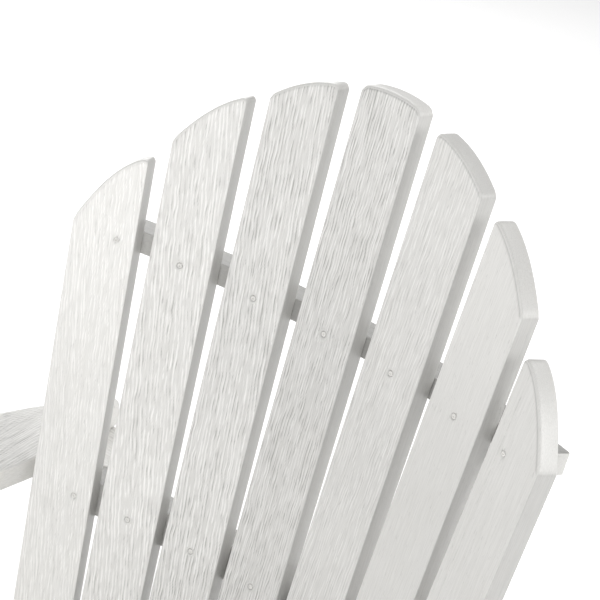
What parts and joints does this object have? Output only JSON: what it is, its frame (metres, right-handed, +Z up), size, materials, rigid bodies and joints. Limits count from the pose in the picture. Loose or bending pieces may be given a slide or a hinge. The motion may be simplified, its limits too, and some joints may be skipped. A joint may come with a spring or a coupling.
{
  "type": "adirondack chair",
  "caption": "Garden chair with a reclined fan back of crowned slats on curved rails, a sloped slatted seat, broad flat arms and seat sides that run back to the floor.",
  "frame": {"origin": "on the floor, at the centre of the chair's bounding box seen from above", "axes": "+Z up, -Y the way the sitter faces, +X to the sitter's left"},
  "size_m": [0.796, 0.875, 0.995],
  "materials": {
    "lumber": "embossed wood grain, satin, off-white",
    "capped_screw": "off-white painted screw heads, satin",
    "bolt_steel": "stainless, brushed"
  },
  "bodies": {
    "root": {"back_slat_1": "lumber", "back_slat_2": "lumber", "back_slat_3": "lumber", "back_slat_4": "lumber", "back_slat_5": "lumber", "back_slat_6": "lumber", "back_slat_7": "lumber", "upper_back_rail": "lumber", "middle_back_rail": "lumber", "lower_back_rail": "lumber", "seat_slat_1": "lumber", "seat_slat_2": "lumber", "seat_slat_3": "lumber", "seat_slat_4": "lumber", "seat_slat_5": "lumber", "seat_slat_6": "lumber", "front_apron": "lumber", "rear_stretcher": "lumber", "seat_side_left": "lumber", "seat_side_right": "lumber", "front_leg_left": "lumber", "front_leg_right": "lumber", "arm_left": "lumber", "arm_right": "lumber", "arm_bracket_left": "lumber", "arm_bracket_right": "lumber", "arm_cleat_left": "lumber", "arm_cleat_right": "lumber", "upper_back_screw_1": "capped_screw", "upper_back_screw_2": "capped_screw", "upper_back_screw_3": "capped_screw", "upper_back_screw_4": "capped_screw", "upper_back_screw_5": "capped_screw", "upper_back_screw_6": "capped_screw", "upper_back_screw_7": "capped_screw", "middle_back_screw_1": "capped_screw", "middle_back_screw_2": "capped_screw", "middle_back_screw_3": "capped_screw", "middle_back_screw_4": "capped_screw", "middle_back_screw_5": "capped_screw", "middle_back_screw_6": "capped_screw", "middle_back_screw_7": "capped_screw", "lower_back_screw_1": "capped_screw", "lower_back_screw_2": "capped_screw", "lower_back_screw_3": "capped_screw", "lower_back_screw_4": "capped_screw", "lower_back_screw_5": "capped_screw", "lower_back_screw_6": "capped_screw", "lower_back_screw_7": "capped_screw", "arm_screw_left_front": "capped_screw", "arm_screw_left_rear": "capped_screw", "arm_screw_right_front": "capped_screw", "arm_screw_right_rear": "capped_screw", "cleat_screw_left": "capped_screw", "cleat_screw_right": "capped_screw", "leg_bolt_left_upper": "bolt_steel", "leg_bolt_left_lower": "bolt_steel", "leg_bolt_right_upper": "bolt_steel", "leg_bolt_right_lower": "bolt_steel"}
  },
  "joints": []
}
